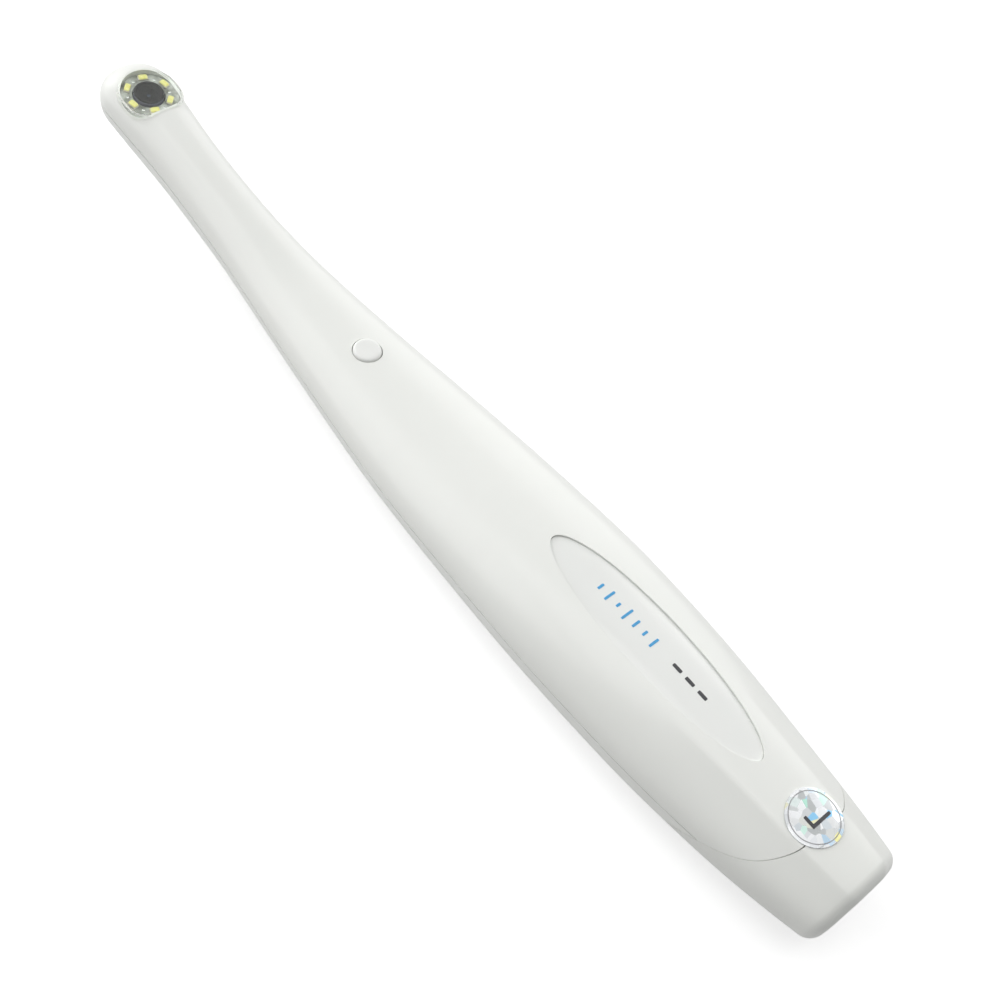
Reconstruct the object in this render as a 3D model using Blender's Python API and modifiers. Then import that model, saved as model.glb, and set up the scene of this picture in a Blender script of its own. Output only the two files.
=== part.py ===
"""Intraoral camera: a hand-held wand with a lens head, a moulded clamshell body and a tail inlet.

X runs from the lens head (-X) to the tail (+X), Z is up and the wand lies on its belly.
Sizes are in millimetres; "station" is the distance from the tip of the head.
"""
import math

import bmesh
import bpy
from mathutils import Matrix, Vector

MM = 0.001

# overall size
LENGTH = 199.0
HEAD_WIDTH = 14.4
NECK_WIDTH = 12.1
HANDLE_WIDTH = 29.8
TAIL_WIDTH = 18.8
HANDLE_HEIGHT = 19.5
WALL = 1.8
HEAD_STATION = 10.0
NECK_STATION = 24.0
BUTTON_STATION = 76.7
BELLY_STATION = 137.0
NOSE_LENGTH = 6.8
TAIL_ROUND = 2.2
BELLY_FLAT = 0.25
BODY_POWER = 2.35
HEAD_POWER = 2.4
FACET_START = 145.0
FACET_BLEND = 30.0
FACET_SHARE = 0.45
FACET_DEPTH = 0.55

# clearances
GAP = 0.3
SEAT = 0.2
SKIN = 0.15

# parting line of the tail cap
SEAM_STATION = 187.8
SEAM_SWEEP = 20.0
SEAM_HIGH = 19.2
SEAM_LOW = 2.0
SPIGOT_LENGTH = 3.0
SPIGOT_WALL = 1.1

# lens head
HEAD_TILT = 4.0
WINDOW_RADIUS = 5.8
WINDOW_REACH = 5.4
WINDOW_POWER = 3.2
WINDOW_THICK = 2.4
WINDOW_PANE = 0.5
SKIRT_WALL = 0.5
GASKET_THICK = 0.3
LEDGE_WIDTH = 0.8
LEDGE_THICK = 0.8
BARREL_RADIUS = 2.8
BARREL_TOP = -0.65
BARREL_LENGTH = 4.3
LENS_RADIUS = 1.55
LAMP_COUNT = 6
LAMP_RING = 4.0
LAMP_PHASE = -18.0
LAMP_SIZE = (1.15, 1.9, 0.5)
LAMP_TOP = -0.75
LAMP_BOARD_MARGIN = 0.7
LAMP_BOARD_THICK = 0.5
SENSOR_SIZE = 3.4
SENSOR_BOARD = (7.2, 5.0, 0.5)

# snapshot button and switch
BUTTON_RADIUS = 2.6
BUTTON_PROUD = 0.45
BUTTON_TRAVEL = 0.4
FLANGE_RADIUS = 3.5
FLANGE_THICK = 0.7
STEM_RADIUS = 1.2
COLLAR_WALL = 1.4
COLLAR_DEPTH = 2.3
SWITCH_SIZE = 6.0
SWITCH_HEIGHT = 2.0
PLUNGER_RADIUS = 1.3

# oval plate and seal
PLATE_STATION = 149.6
PLATE_LENGTH = 48.8
PLATE_WIDTH = 11.2
PLATE_THICK = 0.3
PLATE_SINK = 0.4
SEAL_STATION = 185.6
SEAL_RADIUS = 4.85
SEAL_THICK = 0.15

# handle board
BOARD_FRONT = 63.0
BOARD_REAR = 162.0
BOARD_NARROW = 10.4
BOARD_WIDE = 17.0
BOARD_STEP = 92.0
BOARD_THICK = 1.0
BOARD_BOTTOM = 4.9
POST_RADIUS = 2.2
SCREW_RADIUS = 0.7
SCREW_HEAD = 1.5
SCREW_HEAD_THICK = 0.9
SCREW_PLACES = ((97.0, -5.4), (151.6, 5.4))

# inlet socket in the tail
SOCKET_RADIUS = 3.8
SOCKET_WALL = 0.5
SOCKET_FLANGE = 0.55
SOCKET_DEPTH = 9.5
SOCKET_HEIGHT = 11.2
INSERT_THICK = 2.0
PIN_RADIUS = 0.4
PIN_RING = 2.1
PIN_PROUD = 2.2
LEAD_RADIUS = 0.4
LEAD_PITCH = 1.6

# (station, full width, top height, bottom height)
PROFILE = (
    (0.0, HEAD_WIDTH + 0.5, 20.2, 10.8),
    (5.0, HEAD_WIDTH, 19.8, 9.6),
    (13.0, HEAD_WIDTH - 1.0, 19.1, 7.6),
    (NECK_STATION, NECK_WIDTH, 17.5, 5.7),
    (39.0, NECK_WIDTH + 0.6, 15.4, 3.8),
    (57.0, 16.1, 13.8, 2.1),
    (77.0, 20.9, 14.4, 0.6),
    (97.0, 25.6, 15.7, 0.0),
    (117.0, HANDLE_WIDTH - 1.5, HANDLE_HEIGHT - 1.8, 0.0),
    (BELLY_STATION, HANDLE_WIDTH, HANDLE_HEIGHT - 0.3, 0.0),
    (157.0, HANDLE_WIDTH - 0.9, HANDLE_HEIGHT, 0.0),
    (177.0, 25.5, HANDLE_HEIGHT - 0.2, 0.5),
    (191.0, TAIL_WIDTH + 3.0, HANDLE_HEIGHT - 0.4, 2.3),
    (LENGTH, TAIL_WIDTH, HANDLE_HEIGHT - 0.6, 3.6),
)

collection = None
cutters = None


def at(station):
    """World X of a station along the wand."""
    return station - LENGTH / 2


def smooth_step(t):
    t = min(max(t, 0.0), 1.0)
    return t * t * (3.0 - 2.0 * t)


def slopes(column):
    """Monotone slopes of one column of the profile."""
    steps = [(b[column] - a[column]) / (b[0] - a[0]) for a, b in zip(PROFILE, PROFILE[1:])]
    result = [steps[0]]
    for before, after in zip(steps, steps[1:]):
        if before * after <= 0.0:
            result.append(0.0)
        else:
            result.append(2.0 * before * after / (before + after))
    result.append(steps[-1])
    return result


SLOPES = [None, slopes(1), slopes(2), slopes(3)]


def profile(station, column):
    """Smooth value of a profile column at a station."""
    station = min(max(station, 0.0), LENGTH)
    index = 0
    while index < len(PROFILE) - 2 and station > PROFILE[index + 1][0]:
        index += 1
    start, end = PROFILE[index], PROFILE[index + 1]
    span = end[0] - start[0]
    t = (station - start[0]) / span
    rise = SLOPES[column][index] * span
    fall = SLOPES[column][index + 1] * span
    return ((2 * t ** 3 - 3 * t ** 2 + 1) * start[column] + (t ** 3 - 2 * t ** 2 + t) * rise
            + (3 * t ** 2 - 2 * t ** 3) * end[column] + (t ** 3 - t ** 2) * fall)


def body_power(station):
    """Squareness of the upper half: squarer at the head, softer along the handle."""
    return HEAD_POWER + (BODY_POWER - HEAD_POWER) * smooth_step((station - 14.0) / 20.0)


def section_size(station):
    """Half width, centre height and half height of the body at a station."""
    half_width = profile(station, 1) / 2
    top = profile(station, 2)
    bottom = profile(station, 3) - BELLY_FLAT
    centre = (top + bottom) / 2
    half_height = (top - bottom) / 2
    if station < NOSE_LENGTH:
        nose = math.sqrt(max(1.0 - (1.0 - station / NOSE_LENGTH) ** 2, 0.0))
        half_width *= nose
        half_height *= nose
    if station > LENGTH - TAIL_ROUND:
        t = (station - LENGTH + TAIL_ROUND) / TAIL_ROUND
        inset = TAIL_ROUND * (1.0 - math.sqrt(max(1.0 - t * t, 0.0)))
        half_width -= inset
        half_height -= inset
    return half_width, centre, half_height


def shoulder_drop(station, side, half_width):
    """Depth by which the shoulders fall away beside the flat top of the tail."""
    edge = FACET_SHARE * half_width
    t = (abs(side) - edge) / max(half_width - edge, 0.01)
    if not 0.0 < t < 1.0:
        return 0.0
    depth = FACET_DEPTH * smooth_step((station - FACET_START) / FACET_BLEND)
    return 4.0 * depth * t * (1.0 - t)


def section_point(station, angle, inset=0.0):
    """A point of the body's section; angle 0 is +Y, a quarter turn is up."""
    half_width, centre, half_height = section_size(station)
    upper = math.sin(angle) >= 0.0
    power = body_power(station) if upper else BODY_POWER
    c = math.cos(angle)
    s = math.sin(angle)
    y = (half_width - inset) * math.copysign(abs(c) ** (2.0 / power), c)
    z = centre + (half_height - inset) * math.copysign(abs(s) ** (2.0 / power), s)
    if upper:
        z -= shoulder_drop(station, y, half_width)
    floor = profile(station, 3) + inset
    return Vector((at(station), y, max(z, min(floor, centre)))) * MM


def parting_angle(station, height):
    """Angle at which the section lies the given height above its widest line."""
    half_height = section_size(station)[2]
    power = body_power(station)
    share = min(max(height / max(half_height, 0.01), 0.0), 0.8)
    return math.asin(share ** (power / 2.0))


def body_stations(start, end, step):
    """Stations for a loft: close together over the round nose and tail, even between."""
    marks = [start]
    for index in range(1, 8):
        nose = NOSE_LENGTH * (1.0 - math.cos(index * math.pi / 14.0))
        tail = LENGTH - TAIL_ROUND * (1.0 - math.sin(index * math.pi / 14.0))
        marks.append(nose)
        if index % 2:
            marks.append(tail)
    count = max(int((end - start) / step), 1)
    for index in range(count + 1):
        mark = start + (end - start) * index / count
        if NOSE_LENGTH + 1.0 < mark < LENGTH - TAIL_ROUND - 1.0:
            marks.append(mark)
    marks.append(LENGTH - TAIL_ROUND)
    marks.append(end)
    return sorted(set(m for m in marks if start <= m <= end))


def material(name, colour, roughness, metallic=0.0, alpha=1.0):
    result = bpy.data.materials.new(name)
    result.use_nodes = True
    shader = result.node_tree.nodes["Principled BSDF"]
    shader.inputs["Base Color"].default_value = (*colour, 1.0)
    shader.inputs["Roughness"].default_value = roughness
    shader.inputs["Metallic"].default_value = metallic
    shader.inputs["Alpha"].default_value = alpha
    result.diffuse_color = (*colour, alpha)
    return result


def add_object(name, mesh, parent=None, cutter=False):
    result = bpy.data.objects.new(name, mesh)
    (cutters if cutter else collection).objects.link(result)
    if parent:
        result.parent = parent
    if cutter:
        result.hide_render = True
        result.display_type = "WIRE"
    return result


def finish(obj, colour, roughness, metallic=0.0, alpha=1.0, smooth=35.0):
    """Material and shading of a finished piece."""
    obj.data.materials.clear()
    obj.data.materials.append(material(obj.name + "_material", colour, roughness, metallic, alpha))
    obj.data.shade_smooth()
    obj.data.set_sharp_from_angle(angle=math.radians(smooth))
    return obj


def mesh_from_bmesh(name, bm):
    bmesh.ops.recalc_face_normals(bm, faces=bm.faces)
    mesh = bpy.data.meshes.new(name)
    bm.to_mesh(mesh)
    bm.free()
    return mesh


def bevel(obj, width, segments=2, angle=40.0):
    modifier = obj.modifiers.new("edge_round", "BEVEL")
    modifier.width = width * MM
    modifier.segments = segments
    modifier.limit_method = "ANGLE"
    modifier.angle_limit = math.radians(angle)
    return modifier


def boolean(obj, operation, other):
    modifier = obj.modifiers.new(operation.lower() + "_" + other.name, "BOOLEAN")
    modifier.operation = operation
    modifier.solver = "EXACT"
    modifier.object = other
    return modifier


def box(name, size, place, parent=None, round_edges=0.0, cutter=False):
    """Box of the given size centred at a place, in millimetres."""
    bm = bmesh.new()
    bmesh.ops.create_cube(bm, size=1.0)
    bmesh.ops.scale(bm, vec=Vector(size) * MM, verts=bm.verts)
    obj = add_object(name, mesh_from_bmesh(name, bm), parent, cutter)
    obj.location = Vector(place) * MM
    if round_edges:
        bevel(obj, round_edges)
    return obj


def rod(name, radius, low, high, place, parent=None, segments=24, cutter=False, along_x=False):
    """Cylinder between two heights, standing at a place or lying along X."""
    bm = bmesh.new()
    bmesh.ops.create_cone(bm, cap_ends=True, segments=segments, radius1=radius * MM,
                          radius2=radius * MM, depth=(high - low) * MM)
    middle = (high + low) / 2
    if along_x:
        turn = Matrix.Rotation(math.pi / 2, 4, "Y")
        bmesh.ops.transform(bm, matrix=turn, verts=bm.verts)
        where = Vector((place[0] + middle, place[1], place[2]))
    else:
        where = Vector((place[0], place[1], place[2] + middle))
    obj = add_object(name, mesh_from_bmesh(name, bm), parent, cutter)
    obj.location = where * MM
    return obj


def turned(name, points, place, parent=None, segments=28, along_x=False, cutter=False):
    """Turned piece from (radius, height) points that run down its outer side."""
    mesh = bpy.data.meshes.new(name)
    closed = points[0][0] > 0.0 or points[-1][0] > 0.0
    edges = [(i, i + 1) for i in range(len(points) - 1)]
    if closed:
        edges.append((len(points) - 1, 0))
    mesh.from_pydata([(r * MM, 0.0, z * MM) for r, z in points], edges, [])
    obj = add_object(name, mesh, parent, cutter)
    obj.location = Vector(place) * MM
    if along_x:
        obj.rotation_euler = (0.0, math.pi / 2, 0.0)
    screw = obj.modifiers.new("turn", "SCREW")
    screw.axis = "Z"
    screw.steps = segments
    screw.render_steps = segments
    screw.use_merge_vertices = True
    screw.merge_threshold = 0.00001
    screw.use_smooth_shade = True
    return obj


def plate(name, outline, low, high, place=(0.0, 0.0, 0.0), parent=None, cutter=False,
          upright=False):
    """Flat outline with a thickness; upright stands its plane in XZ."""
    data = bpy.data.curves.new(name + "_outline", "CURVE")
    data.dimensions = "2D"
    data.fill_mode = "BOTH"
    data.extrude = (high - low) / 2 * MM
    spline = data.splines.new("POLY")
    spline.points.add(len(outline) - 1)
    for point, (x, y) in zip(spline.points, outline):
        point.co = (x * MM, y * MM, 0.0, 1.0)
    spline.use_cyclic_u = True
    source = bpy.data.objects.new(name + "_outline", data)
    cutters.objects.link(source)
    bpy.context.view_layer.update()
    mesh = bpy.data.meshes.new_from_object(source.evaluated_get(
        bpy.context.evaluated_depsgraph_get()))
    bpy.data.objects.remove(source)
    bm = bmesh.new()
    bm.from_mesh(mesh)
    bmesh.ops.remove_doubles(bm, verts=bm.verts, dist=0.000001)
    bmesh.ops.translate(bm, vec=Vector((0, 0, (high + low) / 2 * MM)), verts=bm.verts)
    obj = add_object(name, mesh_from_bmesh(name, bm), parent, cutter)
    bpy.data.meshes.remove(mesh)
    obj.location = Vector(place) * MM
    if upright:
        obj.rotation_euler = (math.pi / 2, 0.0, 0.0)
    return obj


def loft(name, rings, closed_ring, start_face, end_face, cutter=False):
    """Skin through rings that have the same number of points."""
    bm = bmesh.new()
    rows = [[bm.verts.new(point) for point in ring] for ring in rings]
    count = len(rows[0])
    span = count if closed_ring else count - 1
    for before, after in zip(rows, rows[1:]):
        for i in range(span):
            j = (i + 1) % count
            bm.faces.new((before[i], before[j], after[j], after[i]))
    if start_face:
        bm.faces.new(rows[0])
    if end_face:
        bm.faces.new(rows[-1])
    bmesh.ops.remove_doubles(bm, verts=bm.verts, dist=0.000002)
    return add_object(name, mesh_from_bmesh(name, bm), None, cutter)


def body_solid(name, start, end, inset, segments=28, step=7.0, cutter=True):
    """Closed solid of the body between two stations, shrunk by an inset."""
    rings = []
    for station in body_stations(start, end, step):
        rings.append([section_point(station, 2 * math.pi * (i + 0.5) / segments, inset)
                      for i in range(segments)])
    return loft(name, rings, True, True, True, cutter)


def half_shell(name, upper, hollow, segments=18, step=7.0):
    """Upper or lower half of the body, cut hollow."""
    rings = []
    for station in body_stations(0.02, LENGTH, step):
        edge = parting_angle(station, GAP / 2)
        ring = []
        for i in range(segments + 1):
            angle = edge + (math.pi - 2 * edge) * i / segments
            ring.append(section_point(station, angle if upper else -angle))
        rings.append(ring)
    obj = loft(name, rings, True, True, True)
    boolean(obj, "DIFFERENCE", hollow)
    return obj


def seam_cutter(name, shift, far):
    """Prism over everything between the cap's seam and a far station."""
    outline = []
    for index in range(25):
        z = -4.0 + index * 1.1
        drop = smooth_step((SEAM_HIGH - z) / (SEAM_HIGH - SEAM_LOW))
        outline.append((at(SEAM_STATION - SEAM_SWEEP * drop + shift), z))
    outline.append((at(far), outline[-1][1]))
    outline.append((at(far), -4.0))
    return plate(name, outline, -20.0, 20.0, cutter=True, upright=True)


def head_outline(shift=0.0, segments=44):
    """Outline of the window moved in or out: round towards the tip, squarer towards the neck."""
    radius = WINDOW_RADIUS + shift
    reach = WINDOW_REACH + shift
    points = []
    for i in range(segments):
        angle = 2 * math.pi * (i + 0.5) / segments
        c, s = math.cos(angle), math.sin(angle)
        if c < 0.0:
            points.append((radius * c, radius * s))
        else:
            points.append((reach * c ** (2.0 / WINDOW_POWER),
                           radius * math.copysign(abs(s) ** (2.0 / WINDOW_POWER), s)))
    return points


def head_empty():
    """Tilted frame of the lens head: its Z axis is the view direction."""
    empty = bpy.data.objects.new("head_axis", None)
    collection.objects.link(empty)
    empty.location = Vector((at(HEAD_STATION), 0.0, profile(HEAD_STATION, 2))) * MM
    empty.rotation_euler = (0.0, math.radians(HEAD_TILT), 0.0)
    bpy.context.view_layer.update()
    return empty


WHITE = (0.84, 0.84, 0.82)


def make_shells(head):
    hollow = body_solid("body_hollow", WALL + 0.3, LENGTH - WALL, WALL, step=8.0)
    upper = half_shell("upper_shell", True, hollow)
    lower = half_shell("lower_shell", False, hollow)
    tail = seam_cutter("seam_tail_side", -GAP / 2, LENGTH + 8.0)

    recess_depth = WINDOW_THICK + GASKET_THICK + 2 * SKIN
    ledge = plate("head_ledge", head_outline(SEAT + 0.1), -recess_depth - LEDGE_THICK,
                  -recess_depth + 0.1, parent=head, cutter=True)
    recess = plate("head_recess", head_outline(SEAT), -recess_depth, 6.0, parent=head, cutter=True)
    opening = plate("head_opening", head_outline(SEAT - LEDGE_WIDTH), -recess_depth - 3.0, 1.0,
                    parent=head, cutter=True)
    boolean(upper, "UNION", ledge)
    boolean(upper, "DIFFERENCE", recess)
    boolean(upper, "DIFFERENCE", opening)

    top = profile(BUTTON_STATION, 2)
    hole_radius = BUTTON_RADIUS + GAP
    place = (at(BUTTON_STATION), 0.0, 0.0)
    collar = rod("button_collar", hole_radius + COLLAR_WALL, top - COLLAR_DEPTH, top - 1.0,
                 place, cutter=True)
    hole = rod("button_hole", hole_radius, top - COLLAR_DEPTH - 1.0, top + 3.0, place,
               segments=36, cutter=True)
    boolean(upper, "UNION", collar)
    boolean(upper, "DIFFERENCE", hole)

    oval = draped_disc("plate_recess", PLATE_STATION, PLATE_LENGTH / 2 + SEAT, PLATE_WIDTH / 2 + SEAT,
                       -PLATE_SINK - PLATE_THICK - SEAT, 3.0, segments=48, cutter=True)
    boolean(upper, "DIFFERENCE", oval)
    boolean(upper, "DIFFERENCE", tail)

    for index, (station, side) in enumerate(SCREW_PLACES, 1):
        post = rod("post_%d" % index, POST_RADIUS, WALL - 1.0, BOARD_BOTTOM - GAP,
                   (at(station), side, 0.0), cutter=True)
        pilot = rod("pilot_%d" % index, SCREW_RADIUS + GAP, WALL + 0.4, BOARD_BOTTOM + 1.0,
                    (at(station), side, 0.0), segments=16, cutter=True)
        boolean(lower, "UNION", post)
        boolean(lower, "DIFFERENCE", pilot)
    boolean(lower, "DIFFERENCE", tail)
    finish(upper, WHITE, 0.25)
    finish(lower, WHITE, 0.25)


def make_cap():
    front = SEAM_STATION - SEAM_SWEEP - 10.0
    cap = body_solid("tail_cap", front, LENGTH, 0.0, segments=36, step=4.0, cutter=False)
    spigot = body_solid("cap_spigot", front, LENGTH - 3.0, WALL + GAP)
    throat = body_solid("cap_throat", front - 2.0, LENGTH - 3.5, WALL + GAP + SPIGOT_WALL)
    room = body_solid("cap_room", front - 2.0, LENGTH - WALL - 0.4, WALL)
    boolean(cap, "DIFFERENCE", seam_cutter("seam_head_side", GAP / 2, front - 20.0))
    boolean(spigot, "DIFFERENCE", seam_cutter("spigot_end", GAP / 2 - SPIGOT_LENGTH, front - 20.0))
    boolean(room, "DIFFERENCE", seam_cutter("room_start", SPIGOT_WALL, front - 20.0))
    boolean(cap, "UNION", spigot)
    boolean(cap, "DIFFERENCE", throat)
    boolean(cap, "DIFFERENCE", room)
    bore = rod("socket_bore", SOCKET_RADIUS + SOCKET_WALL + GAP, -6.0, 4.0,
               (at(LENGTH), 0.0, SOCKET_HEIGHT), segments=32, cutter=True, along_x=True)
    boolean(cap, "DIFFERENCE", bore)
    finish(cap, WHITE, 0.25)


def make_window(head):
    """Clear cap: a pane with a skirt that stands round the lamps."""
    window = plate("head_window", head_outline(), -WINDOW_THICK, 0.0, parent=head)
    inside = plate("window_hollow", head_outline(-SKIRT_WALL), -WINDOW_THICK - 1.0, -WINDOW_PANE,
                   parent=head, cutter=True)
    bevel(window, 0.4, segments=3, angle=60.0)
    boolean(window, "DIFFERENCE", inside)
    finish(window, (0.75, 0.78, 0.76), 0.03, alpha=0.35)
    low = -WINDOW_THICK - SKIN - GASKET_THICK
    high = -WINDOW_THICK - SKIN
    gasket = plate("window_gasket", head_outline(), low, high, parent=head)
    hollow = plate("gasket_hollow", head_outline(2 * SEAT - LEDGE_WIDTH), low - 1.0, high + 1.0,
                   parent=head, cutter=True)
    boolean(gasket, "DIFFERENCE", hollow)
    finish(gasket, (0.12, 0.13, 0.12), 0.6)


def make_optics(head):
    top = BARREL_TOP
    low = top - BARREL_LENGTH
    bore = LENS_RADIUS + SEAT
    barrel = turned("lens_barrel", [
        (BARREL_RADIUS - 0.12, top), (BARREL_RADIUS, top - 0.12), (BARREL_RADIUS, low),
        (bore, low), (bore, top - 1.0), (1.05, top - 0.85), (1.05, top - 0.7),
        (BARREL_RADIUS - 0.35, top)], (0.0, 0.0, 0.0), head)
    finish(barrel, (0.02, 0.02, 0.022), 0.35)

    lens_top = top - 1.0 - SEAT
    front = turned("front_lens", [
        (0.0, lens_top), (0.7, lens_top - 0.06), (1.25, lens_top - 0.2),
        (LENS_RADIUS, lens_top - 0.35), (LENS_RADIUS, lens_top - 0.6), (0.0, lens_top - 0.72)],
        (0.0, 0.0, 0.0), head)
    finish(front, (0.35, 0.4, 0.5), 0.02, alpha=0.5)

    stop_top = lens_top - 0.72 - SEAT
    stop = turned("aperture_stop", [
        (LENS_RADIUS, stop_top), (LENS_RADIUS, stop_top - 0.15), (0.4, stop_top - 0.15),
        (0.4, stop_top)], (0.0, 0.0, 0.0), head, segments=20)
    finish(stop, (0.01, 0.01, 0.01), 0.5)

    rear_top = stop_top - 0.15 - SEAT
    rear = turned("rear_lens", [
        (0.0, rear_top), (LENS_RADIUS, rear_top - 0.1), (LENS_RADIUS, rear_top - 0.35),
        (0.0, rear_top - 0.45)], (0.0, 0.0, 0.0), head, segments=20)
    finish(rear, (0.35, 0.4, 0.5), 0.02, alpha=0.5)

    filter_top = rear_top - 0.45 - SEAT
    infrared = rod("ir_filter", LENS_RADIUS, filter_top - 0.25, filter_top, (0, 0, 0), head,
                   segments=20)
    finish(infrared, (0.25, 0.45, 0.5), 0.05, alpha=0.6)

    board_top = low - 0.8
    sensor = box("image_sensor", (SENSOR_SIZE, SENSOR_SIZE, 0.45),
                 (0.0, 0.0, board_top + SEAT + 0.225), head)
    finish(sensor, (0.08, 0.09, 0.14), 0.15)

    holder_low = board_top + SEAT
    holder_high = low + 1.75
    holder = box("lens_holder", (6.6, 6.6, holder_high - holder_low),
                 (0.0, 0.0, (holder_low + holder_high) / 2), head)
    through = rod("holder_bore", BARREL_RADIUS + GAP, low - GAP, holder_high + 1.0, (0, 0, 0),
                  head, cutter=True)
    room = box("holder_room", (SENSOR_SIZE + 2 * GAP, SENSOR_SIZE + 2 * GAP, 2.2),
               (0.0, 0.0, holder_low), head, cutter=True)
    boolean(holder, "DIFFERENCE", through)
    boolean(holder, "DIFFERENCE", room)
    finish(holder, (0.03, 0.03, 0.03), 0.45)

    board = box("sensor_board", SENSOR_BOARD, (0.0, 0.0, board_top - SENSOR_BOARD[2] / 2), head)
    finish(board, (0.05, 0.22, 0.12), 0.4)


def make_lamps(head):
    top = LAMP_TOP - LAMP_SIZE[2] - SKIN
    board = plate("led_board", head_outline(-LAMP_BOARD_MARGIN), top - LAMP_BOARD_THICK, top,
                  parent=head)
    bore = rod("led_board_bore", BARREL_RADIUS + GAP, top - 2.0, top + 1.0, (0, 0, 0), head,
               segments=32, cutter=True)
    boolean(board, "DIFFERENCE", bore)
    finish(board, (0.75, 0.78, 0.72), 0.4)
    for index in range(LAMP_COUNT):
        angle = math.radians(LAMP_PHASE + 360.0 * index / LAMP_COUNT)
        place = (LAMP_RING * math.cos(angle), LAMP_RING * math.sin(angle), LAMP_TOP - LAMP_SIZE[2] / 2)
        lamp = box("led_%d" % (index + 1), LAMP_SIZE, place, head, round_edges=0.1)
        lamp.rotation_euler = (0.0, 0.0, angle)
        finish(lamp, (0.9, 0.85, 0.3), 0.35)


def ribbon_height(station):
    """Height of the flex cable's middle along the neck."""
    low = profile(station, 3) + WALL + 1.1
    rear = BOARD_BOTTOM + BOARD_THICK + SEAT + 0.5
    return low + (rear - low) * smooth_step((station - 44.0) / 18.0)


def make_flex(head):
    start = head.matrix_world @ (Vector((SENSOR_BOARD[0] / 2 + GAP, 0.0,
                                         BARREL_TOP - BARREL_LENGTH - 1.1)) * MM)
    first = start.x / MM + LENGTH / 2
    last = BOARD_FRONT + 1.2
    rings = []
    count = 22
    for index in range(count + 1):
        t = index / count
        station = first + (last - first) * t
        blend = smooth_step((station - first) / 10.0)
        z = start.z / MM * (1 - blend) + ribbon_height(station) * blend
        rings.append([Vector((at(station), y, z)) * MM for y in (-1.5, -0.5, 0.5, 1.5)])
    cable = loft("flex_cable", rings, False, False, False)
    strip = cable.modifiers.new("thickness", "SOLIDIFY")
    strip.thickness = 0.25 * MM
    strip.offset = 0.0
    finish(cable, (0.65, 0.33, 0.08), 0.4)
    top = BOARD_BOTTOM + BOARD_THICK
    socket = box("flex_connector", (3.6, 4.6, 1.1),
                 (at(last + GAP + 1.8), 0.0, top + SEAT + 0.55), round_edges=0.12)
    finish(socket, (0.7, 0.66, 0.55), 0.5)


def make_board():
    front, rear = at(BOARD_FRONT), at(BOARD_REAR)
    step = at(BOARD_STEP)
    narrow, wide = BOARD_NARROW / 2, BOARD_WIDE / 2
    outline = [(front, -narrow), (step - 4.0, -narrow), (step, -wide), (rear - 1.5, -wide),
               (rear, -wide + 1.5), (rear, wide - 1.5), (rear - 1.5, wide), (step, wide),
               (step - 4.0, narrow), (front, narrow)]
    low, high = BOARD_BOTTOM, BOARD_BOTTOM + BOARD_THICK
    board = plate("main_board", outline, low, high)
    for index, (station, side) in enumerate(SCREW_PLACES, 1):
        hole = rod("board_hole_%d" % index, SCREW_RADIUS + GAP, low - 1.0, high + 1.0,
                   (at(station), side, 0.0), segments=16, cutter=True)
        boolean(board, "DIFFERENCE", hole)
        screw = turned("board_screw_%d" % index, [
            (0.0, high + GAP + SCREW_HEAD_THICK), (SCREW_HEAD - 0.3, high + GAP + SCREW_HEAD_THICK),
            (SCREW_HEAD, high + GAP + SCREW_HEAD_THICK - 0.3), (SCREW_HEAD, high + GAP),
            (SCREW_RADIUS, high + GAP), (SCREW_RADIUS, WALL + 0.4 + GAP + 0.4),
            (SCREW_RADIUS - 0.35, WALL + 0.4 + GAP), (0.0, WALL + 0.4 + GAP)],
            (at(station), side, 0.0), segments=16)
        slot_place = (at(station), side, high + GAP + SCREW_HEAD_THICK)
        slot = box("screw_slot_%d" % index, (0.45, 2.0, 0.8), slot_place, cutter=True)
        slot_cross = box("screw_cross_%d" % index, (2.0, 0.45, 0.8), slot_place, cutter=True)
        boolean(screw, "DIFFERENCE", slot)
        boolean(screw, "DIFFERENCE", slot_cross)
        finish(screw, (0.6, 0.6, 0.62), 0.3, 1.0)
    finish(board, (0.04, 0.24, 0.11), 0.4)
    on_board("image_processor", (9.0, 9.0, 1.0), 107.0, 0.5, (0.03, 0.03, 0.035), 0.5)
    on_board("memory_chip", (8.0, 6.0, 0.9), 121.0, -2.5, (0.03, 0.03, 0.035), 0.5)
    on_board("crystal", (3.2, 2.5, 0.9), 120.0, 4.2, (0.7, 0.7, 0.72), 0.3, 0.9)
    on_board("regulator", (6.5, 3.5, 1.6), 134.0, -3.6, (0.03, 0.03, 0.03), 0.5)
    on_board("inductor", (5.0, 5.0, 2.4), 135.0, 3.2, (0.12, 0.12, 0.13), 0.6)
    for index, side in enumerate((-3.4, 2.6), 1):
        base = high + SEAT
        can = turned("capacitor_%d" % index, [
            (0.0, base + 4.2), (1.7, base + 4.2), (2.0, base + 3.9), (2.0, base + 0.9),
            (1.85, base + 0.7), (2.0, base + 0.5), (2.0, base), (0.0, base)],
            (at(145.0), side, 0.0), segments=20)
        finish(can, (0.72, 0.72, 0.74), 0.3, 0.9)


def on_board(name, size, station, side, colour, roughness, metallic=0.0):
    """Component soldered on top of the handle board."""
    base = BOARD_BOTTOM + BOARD_THICK + SEAT
    part = box(name, size, (at(station), side, base + size[2] / 2), round_edges=0.15)
    return finish(part, colour, roughness, metallic)


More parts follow.
